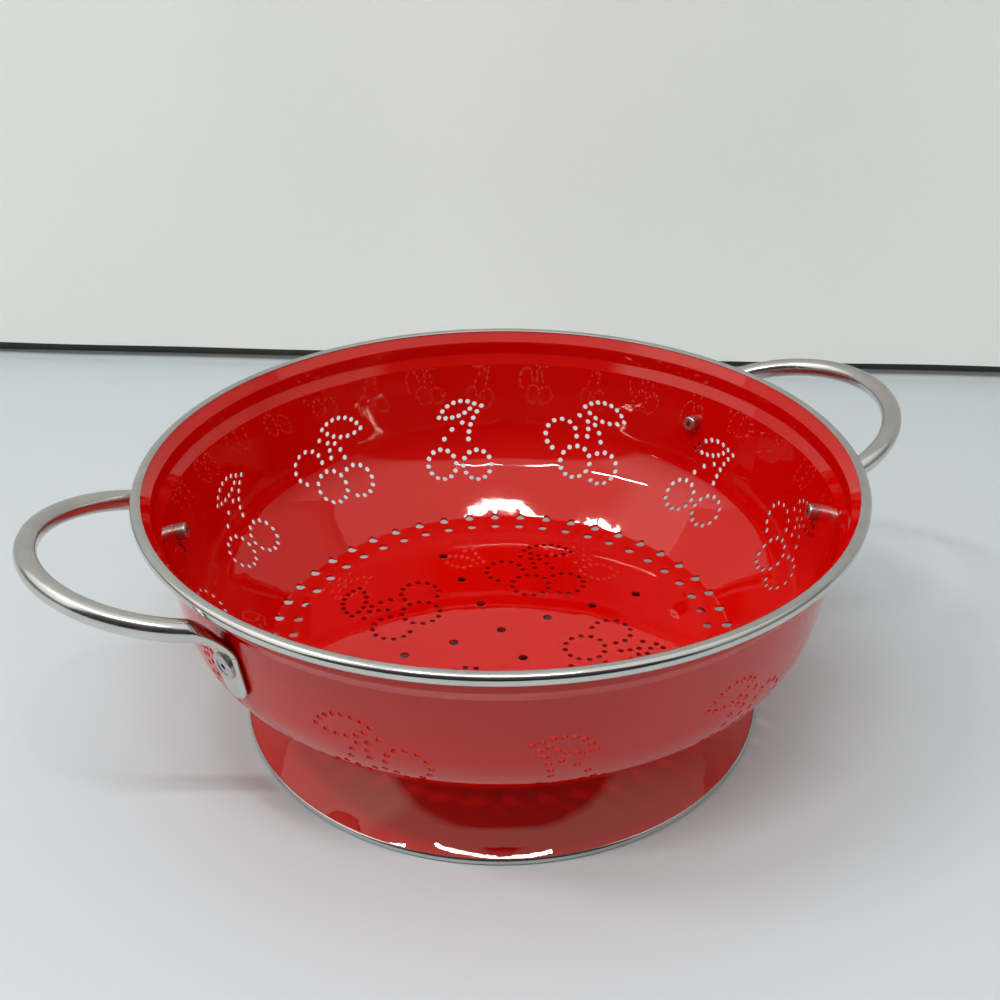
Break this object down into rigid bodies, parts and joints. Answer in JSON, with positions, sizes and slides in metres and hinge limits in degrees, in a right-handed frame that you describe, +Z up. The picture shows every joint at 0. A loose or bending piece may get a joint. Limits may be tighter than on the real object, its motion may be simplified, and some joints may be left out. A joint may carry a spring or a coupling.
{
  "type": "colander",
  "caption": "Footed enamelled steel colander with riveted tube loop handles, steel-trimmed edges, and drain holes in rings, a cross and dotted cherries.",
  "frame": {"origin": "centre of the plane on which the foot rests", "axes": "+Z up through the bowl's axis, the two handles along +X and -X"},
  "size_m": [0.3222, 0.2505, 0.1],
  "materials": {
    "red_enamel": "gloss",
    "trim_steel": "polished",
    "handle_steel": "satin",
    "rivet_steel": "satin",
    "mandrel_steel": "dull"
  },
  "bodies": {
    "root": {"bowl": "red_enamel", "foot_ring": "red_enamel", "rim_trim": "trim_steel", "foot_trim": "trim_steel", "left_handle": "handle_steel", "right_handle": "handle_steel", "rivet_left_front": "rivet_steel", "rivet_left_back": "rivet_steel", "rivet_right_front": "rivet_steel", "rivet_right_back": "rivet_steel", "mandrel_left_front": "mandrel_steel", "mandrel_left_back": "mandrel_steel", "mandrel_right_front": "mandrel_steel", "mandrel_right_back": "mandrel_steel"}
  },
  "joints": []
}
